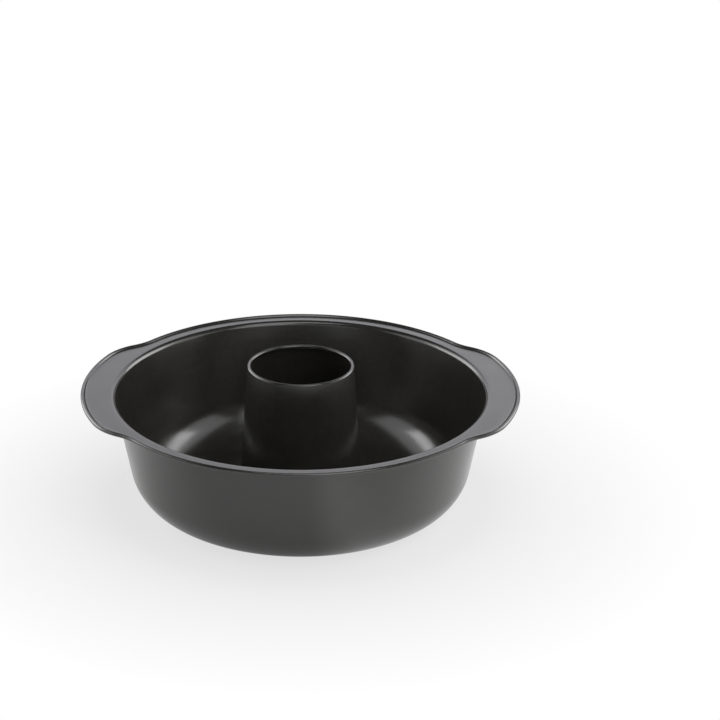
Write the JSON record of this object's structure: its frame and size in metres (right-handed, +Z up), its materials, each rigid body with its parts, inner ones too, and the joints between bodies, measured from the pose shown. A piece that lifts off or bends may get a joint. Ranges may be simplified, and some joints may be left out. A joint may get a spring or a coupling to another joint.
{
  "type": "ring cake pan",
  "caption": "Round ring cake pan with an open tube in the middle, rounded lower corner, flat flange with side ears and a rolled edge, in dark non-stick coated steel.",
  "frame": {"origin": "on the table, on the axis of the tube, under the middle of the pan", "axes": "+Z up along the tube; the two ears lie along +X and -X"},
  "size_m": [0.3008, 0.2788, 0.1],
  "materials": {
    "nonstick_coating": "dark grey non-stick coating with a satin sheen, inside and outside"
  },
  "bodies": {
    "root": {"pan": "nonstick_coating"}
  },
  "joints": []
}
